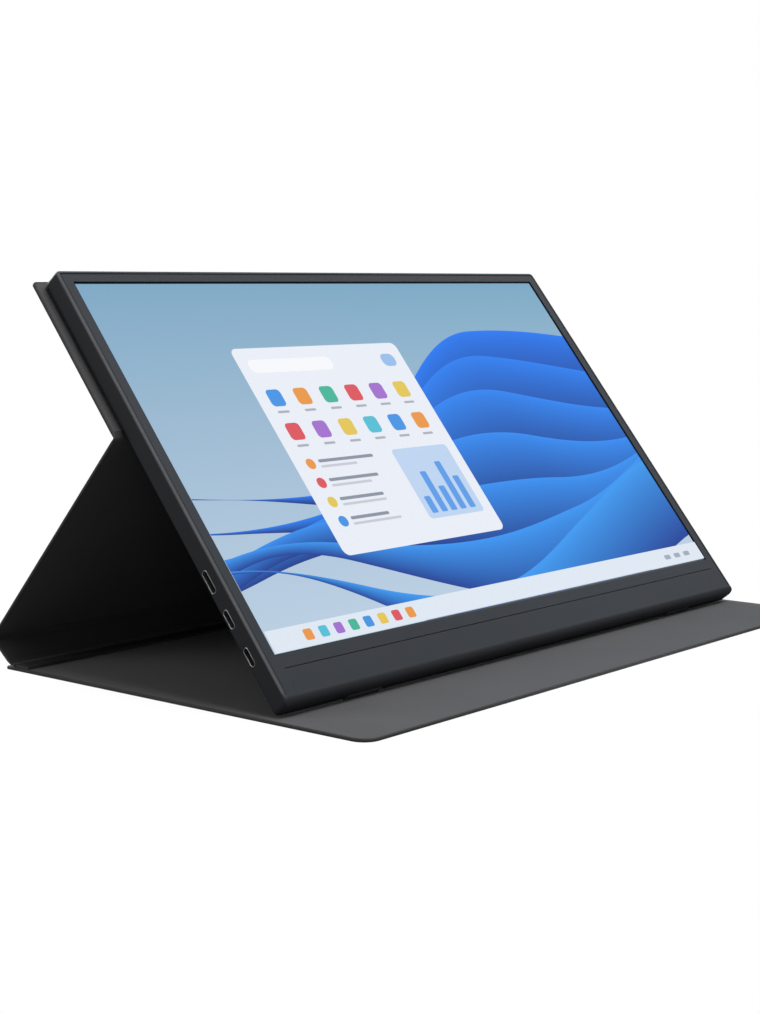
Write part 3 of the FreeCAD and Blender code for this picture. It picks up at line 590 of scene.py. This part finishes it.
def make_tab():
    """Margin of the spine's leather that lies glued on the flap."""
    profile = [(0, -TAB_HALF * 2)] + rounding(TAB_HALF, TAB_HALF, False)
    loops = []
    for inset, z in profile:
        side = COVER_SIDE - FOLD_END_CAP - inset
        loops.append(rounded_loop(-side, side, inset - TAB_LEN, -CREASE_REACH, (FOLD_CORNER_R,) * 4, z))
    verts, faces = loft(loops)
    tab = add_piece("spine_tab_leather", verts, faces, [LEATHER], placed(0, FLAP_FOLD))
    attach(tab, "flap")
    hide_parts("spine_tab")
    return tab


def fold_line(turn_before, turn_after, pull):
    """Line along a fold's middle, as (y, z, angle); a stronger pull keeps nearer to the hinge line."""
    before = math.radians(turn_before)
    after = math.radians(turn_after)
    start = Vector((-math.cos(before), -math.sin(before))) * CREASE_REACH
    end = Vector((math.cos(after), math.sin(after))) * CREASE_REACH
    points = []
    for i in range(FOLD_STEPS + 1):
        t = i / FOLD_STEPS
        a = (1 - t) ** 2
        b = 2 * pull * t * (1 - t)
        c = t ** 2
        points.append((start * a + end * c) / (a + b + c))
    line = []
    for i, point in enumerate(points):
        step = points[min(i + 1, FOLD_STEPS)] - points[max(i - 1, 0)]
        line.append((point.x, point.y, math.atan2(step.y, step.x)))
    return line


def fold_outline(line, pivot, first_half, last_half):
    """Section of a fold: one side of its line, then back along the other side."""
    sides = ([], [])
    for i, (y, z, angle) in enumerate(line):
        share = 2 * i / FOLD_STEPS - 1
        thick = first_half if share < 0 else last_half
        half = FOLD_THIN + (thick - FOLD_THIN) * share * share
        for run, sign in zip(sides, (-1, 1)):
            run.append((pivot[0] + y - sign * half * math.sin(angle),
                        pivot[1] + z + sign * half * math.cos(angle)))
    return sides[0] + sides[1][::-1]


def make_fold(name, node, pivot, turns, pull, first_half=FOLD_END):
    """Soft strip at a fold: leather outside, lining inside, thinnest in the middle."""
    line = fold_line(turns[0], turns[1], pull)
    outline = fold_outline(line, pivot, first_half, FOLD_END)
    count = len(outline)
    ends = [(COVER_SIDE - FOLD_END_CAP * share, size) for share, size in FOLD_TAPER]
    sections = [(-x, size) for x, size in ends] + ends[::-1]
    loops = []
    for x, size in sections:
        ring = []
        for i, (y, z) in enumerate(outline):
            other = outline[count - 1 - i]
            mid_y = (y + other[0]) / 2
            mid_z = (z + other[1]) / 2
            ring.append((x, mid_y + (y - mid_y) * size, mid_z + (z - mid_z) * size))
        loops.append(ring)
    verts, faces = loft(loops)
    # The shaded lining, with painted shade, covers the inner side of the long run, and leather covers the
    # rest
    slots = [0]
    for k in range(len(loops) - 1):
        long_run = k == len(ends) - 1
        slots += [1 if long_run and FOLD_STEPS < i < count - 1 else 0 for i in range(count)]
    slots.append(0)
    strip = add_piece(name, verts, faces, [LEATHER, SHADED_LINING], Matrix.Identity(4), slots, sharp=60)
    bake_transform(strip)
    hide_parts(node)
    return strip


tab = make_tab()
flap_strip = make_fold("flap_fold_strip", "flap_crease", FLAP_FOLD, (0, SPINE_TURN),
                       pull=2.0, first_half=TAB_HALF)
spine_strip = make_fold("spine_fold_strip", "spine_crease", SPINE_FOLD, (SPINE_TURN, REAR_TURN),
                        pull=1.2)
top_strip = make_fold("top_fold_strip", "top_crease", TOP_FOLD, (REAR_TURN, SLAB_TURN),
                      pull=4.0)


# Repeated small pieces

def repeat_tree(name, pattern):
    """Node tree that puts one bar at every point of a row or a ring, with its input sockets."""
    tree = bpy.data.node_groups.new(name, "GeometryNodeTree")
    tree.is_modifier = True
    sockets = {}
    for label, kind in (("Count", "NodeSocketInt"), ("Spacing", "NodeSocketFloat"),
                        ("Bar Size", "NodeSocketVector"), ("Finish", "NodeSocketMaterial")):
        sockets[label] = tree.interface.new_socket(label, in_out="INPUT", socket_type=kind).identifier
    tree.interface.new_socket("Geometry", in_out="OUTPUT", socket_type="NodeSocketGeometry")
    given = tree.nodes.new("NodeGroupInput").outputs
    if pattern == "row":
        offset = add_node(tree, "ShaderNodeCombineXYZ", {"Y": given["Spacing"]}).outputs[0]
        points = add_node(tree, "GeometryNodeMeshLine",
                          {"Count": given["Count"], "Offset": offset}).outputs[0]
    else:
        points = add_node(tree, "GeometryNodeMeshCircle",
                          {"Vertices": given["Count"], "Radius": given["Spacing"]}).outputs[0]
    bar = add_node(tree, "GeometryNodeMeshCube", {"Size": given["Bar Size"]}).outputs[0]
    inputs = {"Points": points, "Instance": bar}
    if pattern == "ring":
        outward = add_node(tree, "GeometryNodeInputPosition").outputs[0]
        aligned = add_node(tree, "FunctionNodeAlignEulerToVector", {"Vector": outward}, axis="X")
        inputs["Rotation"] = aligned.outputs[0]
    copies = add_node(tree, "GeometryNodeInstanceOnPoints", inputs).outputs[0]
    real = add_node(tree, "GeometryNodeRealizeInstances", {0: copies}).outputs[0]
    dressed = add_node(tree, "GeometryNodeSetMaterial",
                       {"Geometry": real, "Material": given["Finish"]}).outputs[0]
    add_node(tree, "NodeGroupOutput", {"Geometry": dressed})
    return tree, sockets


def make_repeat(name, tree_and_sockets, count, spacing, bar, finish, place, body):
    """Piece made by one of the repeat trees, as a plain mesh in its place."""
    tree, sockets = tree_and_sockets
    piece = bpy.data.objects.new(name, bpy.data.meshes.new(name))
    bpy.context.scene.collection.objects.link(piece)
    modifier = piece.modifiers.new("repeat", "NODES")
    modifier.node_group = tree
    modifier[sockets["Count"]] = count
    modifier[sockets["Spacing"]] = spacing
    modifier[sockets["Bar Size"]] = bar
    modifier[sockets["Finish"]] = finish
    graph = bpy.context.evaluated_depsgraph_get()
    mesh = bpy.data.meshes.new_from_object(piece.evaluated_get(graph))
    piece.modifiers.clear()
    piece.data = mesh
    mesh.transform(place)
    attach(piece, body)
    return piece


CONTACT_ROW = repeat_tree("contact_row", "row")
RIB_RING = repeat_tree("rib_ring", "ring")
CONTACT_BAR = (0.0034, 0.00025, 0.00004)
CONTACT_SETBACK = 0.0006    # tongue's tip to the contacts
CONTACTS = {                # number of contacts on each face of a tongue, and their pitch
    "usb_c_lower": (12, 0.0005),
    "usb_c_upper": (12, 0.0005),
    "mini_hdmi": (10, 0.0008),
}
RIB_COUNT = 48
RIB_BAR = (0.0003, 0.0004, 0.0024)


def make_contacts(socket):
    """Gilt contacts on both faces of a socket's tongue."""
    middle = SOCKETS[socket][0]
    count, pitch = CONTACTS[socket]
    for side, sign in (("back", -1), ("front", 1)):
        place = ON_SLAB @ Matrix.Translation((TONGUE_TIP + CONTACT_SETBACK + CONTACT_BAR[0] / 2,
                                              middle - pitch * (count - 1) / 2,
                                              MID_DEPTH + sign * TONGUE_T / 2))
        row = make_repeat(f"{socket}_contacts_{side}", CONTACT_ROW, count, pitch, CONTACT_BAR, GOLD, place,
                          "monitor")


LIP_R = 0.00016
LIP_STEPS = 8
LIP_CORNER = 0.9            # corner radius, as a share of half the height


def make_rim(socket):
    """Rolled bright lip round a socket's mouth."""
    middle, width, height = SOCKETS[socket]
    half_w = width / 2 - LIP_R
    half_h = height / 2 - LIP_R
    radius = LIP_CORNER * half_h
    loop = rounded_loop(-half_w, half_w, -half_h, half_h, (radius,) * 4, 0)
    count = len(loop)
    verts = []
    for i, (y, z, _) in enumerate(loop):
        before = loop[i - 1]
        after = loop[(i + 1) % count]
        out = Vector((after[1] - before[1], before[0] - after[0])).normalized()
        for k in range(LIP_STEPS):
            angle = 2 * math.pi * k / LIP_STEPS
            grow = LIP_R * math.cos(angle)
            verts.append((SOCKET_MOUTH + LIP_R * math.sin(angle),
                          middle + y + out.x * grow, MID_DEPTH + z + out.y * grow))
    faces = []
    for i in range(count):
        j = (i + 1) % count
        for k in range(LIP_STEPS):
            m = (k + 1) % LIP_STEPS
            faces.append([i * LIP_STEPS + k, i * LIP_STEPS + m, j * LIP_STEPS + m, j * LIP_STEPS + k])
    rim = add_piece(socket + "_rim", verts, faces, [NICKEL], ON_SLAB)
    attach(rim, "monitor")


for socket in SOCKETS:
    make_contacts(socket)
    make_rim(socket)
wheel_place = ON_SLAB @ Matrix.Translation((WHEEL_X, WHEEL_V, MID_DEPTH))
ribs = make_repeat("menu_wheel_ribs", RIB_RING, RIB_COUNT, WHEEL_R, RIB_BAR, BUTTONS, wheel_place,
                   "menu_wheel")


# Picture on the display: waves of silk behind a plain pale page and a pale strip of tiles

LAYER = 0.00001             # each shape lies this far above the one under it
RIBBON_STEPS = 90
RIBBON_BANDS = 10
RIBBON_FALL = 0.8           # how the colour runs from the bright to the dark edge
TILE_STEPS = 6
WAVES = 7
WAVE_TOP = 0.42             # height of the first wave, and the step down to the next
WAVE_DROP = 0.055


class Picture:
    """Collects flat coloured shapes on the display; sizes are shares of the display's height."""

    def __init__(self):
        self.verts = []
        self.faces = []
        self.shades = []
        self.layers = 0

    def put(self, points, faces, colours):
        """Adds one shape on top of those before it."""
        first = len(self.verts)
        self.layers += 1
        depth = DISPLAY_FACE + LAYER * self.layers
        self.verts += [(x * ACTIVE_H, CHIN_H + y * ACTIVE_H, depth) for x, y in points]
        self.faces += [[first + i for i in face] for face in faces]
        self.shades += [(*colour, 1.0) for colour in colours]

    def tile(self, x, y, width, height, radius, colour):
        """Plain rounded tile, from its lower left corner."""
        loop = rounded_loop(x, x + width, y, y + height, (radius,) * 4, 0, TILE_STEPS)
        self.put([(px, py) for px, py, _ in loop], [list(range(len(loop)))], [colour] * len(loop))

    def ribbon(self, top, width, bright, dark):
        """Band across the display whose colour runs from its top edge down."""
        points = []
        colours = []
        half = ACTIVE_W / ACTIVE_H / 2
        for i in range(RIBBON_STEPS + 1):
            x = half * (2 * i / RIBBON_STEPS - 1)
            for k in range(RIBBON_BANDS + 1):
                share = k / RIBBON_BANDS
                y = min(max(top(x) - width(x) * share, 0.0), 1.0)
                points.append((x, y))
                mix = share ** RIBBON_FALL
                colours.append(tuple(b + (d - b) * mix for b, d in zip(bright, dark)))
        faces = []
        row = RIBBON_BANDS + 1
        for i in range(RIBBON_STEPS):
            for k in range(RIBBON_BANDS):
                a = i * row + k
                faces.append([a, a + 1, a + row + 1, a + row])
        self.put(points, faces, colours)

    def build(self):
        """Makes all shapes one piece on the display."""
        piece = add_piece("display_picture", self.verts, self.faces, [PICTURE], ON_SLAB)
        shade = piece.data.attributes.new("shade", "FLOAT_COLOR", "POINT")
        shade.data.foreach_set("color", [c for colour in self.shades for c in colour])
        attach(piece, "monitor")


def ease(x, start, end):
    """Smooth step from 0 to 1."""
    t = min(max((x - start) / (end - start), 0), 1)
    return t * t * (3 - 2 * t)


def draw_waves(picture):
    """Blue silk waves, thin at the left and opening towards the right."""
    for i in range(WAVES):
        base = WAVE_TOP - WAVE_DROP * i
        swing = 0.05 + 0.012 * i

        def top(x, i=i, base=base, swing=swing):
            rise = (0.36 - 0.035 * i) * ease(x, -0.5, 0.45)
            return base + rise + swing * math.sin(3.1 * x + 0.75 * i)

        def width(x, i=i):
            return 0.03 + 0.2 * ease(x, -0.8, 0.5 - 0.05 * i) + 0.03 * math.sin(2.3 * x + i)

        depth = i / (WAVES - 1)
        bright = (0.005 + 0.03 * depth, 0.18 + 0.13 * depth, 0.86)
        dark = (0.0, 0.02 + 0.02 * depth, 0.18 + 0.12 * depth)
        picture.ribbon(top, width, bright, dark)


PAGE = (0.8, 0.83, 0.9)
PAGE_BAR = (0.9, 0.91, 0.94)
PAGE_BUTTON = (0.3, 0.5, 0.8)
LABEL = (0.4, 0.42, 0.48)
DARK_LINE = (0.25, 0.28, 0.35)
PALE_LINE = (0.55, 0.58, 0.64)
CHART = (0.5, 0.64, 0.85)
CHART_BAR = (0.1, 0.32, 0.78)
STRIP = (0.72, 0.79, 0.87)
STRIP_MARK = (0.35, 0.4, 0.48)
TILE_COLOURS = (
    (0.05, 0.28, 0.75), (0.8, 0.3, 0.05), (0.05, 0.45, 0.3), (0.7, 0.08, 0.1),
    (0.35, 0.15, 0.6), (0.75, 0.55, 0.08), (0.08, 0.5, 0.65),
)

# Page and strip, in shares of the display's height, across from its middle and up from its lower edge
PAGE_LEFT = -0.52
PAGE_LOW = 0.2
PAGE_W = 0.62
PAGE_H = 0.6
PAGE_CORNER = 0.02
PAGE_MARGIN = 0.04
STRIP_H = 0.055
STRIP_CORNER = 0.0005
STRIP_PITCH = 0.05
CHART_BARS = 5


def tile_colour(i):
    """Colour of the tile with this number; the colours come round again."""
    return TILE_COLOURS[i % len(TILE_COLOURS)]


def draw_tiles(picture):
    """Two rows of coloured tiles with a label under each."""
    size = 0.05
    corner = 0.012
    pitch_x = 0.095
    pitch_y = 0.1
    first_row = PAGE_LOW + PAGE_H - 0.175
    label_inset = 0.005
    label_drop = 0.02
    label_h = 0.007
    label_corner = 0.003
    for row in range(2):
        for column in range(6):
            x = PAGE_LEFT + PAGE_MARGIN + pitch_x * column
            y = first_row - pitch_y * row
            label_w = size - 2 * label_inset
            picture.tile(x, y, size, size, corner, tile_colour(column + 3 * row))
            picture.tile(x + label_inset, y - label_drop, label_w, label_h, label_corner, LABEL)


def draw_lines(picture):
    """Four dots, each with a dark and a pale line beside it."""
    dot = 0.03
    dot_corner = 0.014
    pitch = 0.055
    first_row = PAGE_LOW + 0.24
    indent = 0.045
    for row in range(4):
        x = PAGE_LEFT + PAGE_MARGIN
        y = first_row - pitch * row
        dark_w = 0.2 - 0.02 * row
        pale_w = 0.13 + 0.015 * row
        picture.tile(x, y, dot, dot, dot_corner, tile_colour(2 * row + 1))
        picture.tile(x + indent, y + 0.016, dark_w, 0.009, 0.004, DARK_LINE)
        picture.tile(x + indent, y + 0.001, pale_w, 0.007, 0.003, PALE_LINE)


def draw_chart(picture):
    """Small chart of bars."""
    left = PAGE_LEFT + 0.36
    low = PAGE_LOW + 0.06
    pitch = 0.038
    bar_w = 0.024
    bar_least = 0.05
    bar_step = 0.024
    picture.tile(left, low, 0.22, 0.21, 0.012, CHART)
    for column in range(CHART_BARS):
        bar_h = bar_least + bar_step * ((column * 3) % CHART_BARS)
        picture.tile(left + 0.02 + pitch * column, low + 0.015, bar_w, bar_h, 0.004, CHART_BAR)


def draw_page(picture):
    """Pale page with a bar and a button on top, and tiles, lines and a chart below."""
    bar_margin = 0.035
    bar_y = PAGE_LOW + PAGE_H - 0.075
    bar_w = 0.3
    bar_h = 0.04
    bar_corner = 0.018
    button_w = 0.055
    button_x = PAGE_LEFT + PAGE_W - bar_margin - button_w
    picture.tile(PAGE_LEFT, PAGE_LOW, PAGE_W, PAGE_H, PAGE_CORNER, PAGE)
    picture.tile(PAGE_LEFT + bar_margin, bar_y, bar_w, bar_h, bar_corner, PAGE_BAR)
    picture.tile(button_x, bar_y, button_w, bar_h, bar_corner, PAGE_BUTTON)
    draw_tiles(picture)
    draw_lines(picture)
    draw_chart(picture)


def draw_strip(picture):
    """Pale strip along the lower edge with tiles at its left and plain marks at its right."""
    half = ACTIVE_W / ACTIVE_H / 2
    tiles_left = -0.78
    tile = 0.028
    marks_left = 0.7
    picture.tile(-half, 0.0, 2 * half, STRIP_H, STRIP_CORNER, STRIP)
    for i in range(8):
        picture.tile(tiles_left + STRIP_PITCH * i, 0.014, tile, tile, 0.006, tile_colour(5 * i + 1))
    for i in range(3):
        picture.tile(marks_left + STRIP_PITCH * i, 0.019, 0.03, 0.014, 0.004, STRIP_MARK)


picture = Picture()
draw_waves(picture)
draw_page(picture)
draw_strip(picture)
picture.build()


# Floor, light and camera

FLOOR_REACH = 6.0
FLOOR_FADE = (0.08, 0.205)  # distances from the middle where the floor starts and ends its fade
AMBIENT = 0.25
COOL = (0.84, 0.93, 1.0)


def make_floor():
    """Pale floor that fades into the white surroundings close round the object."""
    material, tree, shader, place = start_material("pale_floor", Specular_IOR_Level=0.0, Roughness=0.9)
    tone = two_tone(tree, noise(tree, place, 0.6, 2), (0.87, 0.87, 0.875), (0.89, 0.89, 0.895))
    tree.links.new(tone, shader.inputs["Base Color"])
    away = add_node(tree, "ShaderNodeVectorMath", {0: place}, operation="LENGTH").outputs["Value"]
    fade = between(tree, away, *FLOOR_FADE, kind="SMOOTHSTEP")
    clear = add_node(tree, "ShaderNodeBsdfTransparent").outputs[0]
    mixed = add_node(tree, "ShaderNodeMixShader", {0: fade, 1: shader.outputs[0], 2: clear}).outputs[0]
    tree.links.new(mixed, tree.nodes["Material Output"].inputs["Surface"])
    mesh = bpy.data.meshes.new("floor")
    corners = [(x * FLOOR_REACH, y * FLOOR_REACH, 0) for x, y in ((-1, -1), (1, -1), (1, 1), (-1, 1))]
    mesh.from_pydata(corners, [], [[0, 1, 2, 3]])
    mesh.materials.append(material)
    floor = bpy.data.objects.new("floor", mesh)
    bpy.context.scene.collection.objects.link(floor)


def make_light(name, spot, target, size, power, colour=(1, 1, 1)):
    """Square soft light that faces a point."""
    data = bpy.data.lights.new(name, "AREA")
    data.energy = power
    data.color = colour
    data.size = size
    light = bpy.data.objects.new(name, data)
    light.location = spot
    light.rotation_euler = (Vector(target) - Vector(spot)).to_track_quat("-Z", "Y").to_euler()
    bpy.context.scene.collection.objects.link(light)


def make_world():
    """Dim even surroundings that look white where they are seen directly."""
    world = bpy.data.worlds.new("studio")
    world.use_nodes = True
    tree = world.node_tree
    backdrop = tree.nodes["Background"]
    backdrop.inputs["Color"].default_value = (1, 1, 1, 1)
    seen = add_node(tree, "ShaderNodeLightPath").outputs["Is Camera Ray"]
    strength = add_node(tree, "ShaderNodeMapRange",
                        {"Value": seen, "To Min": AMBIENT, "To Max": 1.0}).outputs[0]
    tree.links.new(strength, backdrop.inputs["Strength"])
    bpy.context.scene.world = world


CAMERA_YAW = -49.639
CAMERA_PITCH = 6.889
CAMERA_ROLL = 0.181
CAMERA_OFFSET = (-0.70487, -0.50978, 0.15014)   # from the middle of the display's lower edge
CAMERA_LENS = 64.64


def make_camera():
    """Camera at the photograph's place: low in front of the left side."""
    yaw = math.radians(CAMERA_YAW)
    pitch = math.radians(CAMERA_PITCH)
    roll = math.radians(CAMERA_ROLL)
    ahead = Vector((-math.sin(yaw) * math.cos(pitch), math.cos(yaw) * math.cos(pitch), -math.sin(pitch)))
    level = Vector((math.cos(yaw), math.sin(yaw), 0))
    down = ahead.cross(level)
    right = math.cos(roll) * level + math.sin(roll) * down
    up = -(math.cos(roll) * down - math.sin(roll) * level)
    data = bpy.data.cameras.new("camera")
    data.lens = CAMERA_LENS
    data.clip_start = 0.01
    camera = bpy.data.objects.new("camera", data)
    turn = Matrix((right, up, -ahead)).transposed().to_4x4()
    camera.matrix_world = Matrix.Translation(DISPLAY_EDGE + Vector(CAMERA_OFFSET)) @ turn
    bpy.context.scene.collection.objects.link(camera)
    bpy.context.scene.camera = camera


make_floor()
make_world()
make_light("key_light", spot=(0.05, -0.75, 1.45), target=(0, 0, 0.05), size=0.8, power=26)
make_light("sheen_light", spot=(1.3, -0.2, 1.3), target=(0.05, 0, 0.08), size=1.0, power=4.7, colour=COOL)
make_light("right_light", spot=(0.5, -0.2, 0.25), target=(0.15, -0.08, 0.03), size=0.2, power=0.13,
           colour=COOL)
make_light("left_light", spot=(-0.5, -0.4, 0.05), target=(-0.15, 0.05, 0.05), size=0.2, power=0.2)
make_light("side_light", spot=(-1.0, 0.5, 0.35), target=(-0.1, 0, 0.08), size=0.6, power=3)
make_light("back_light", spot=(0.1, 1.35, 0.9), target=(0, 0.05, 0.05), size=0.7, power=20)
make_camera()
bpy.context.scene.view_settings.view_transform = "Standard"
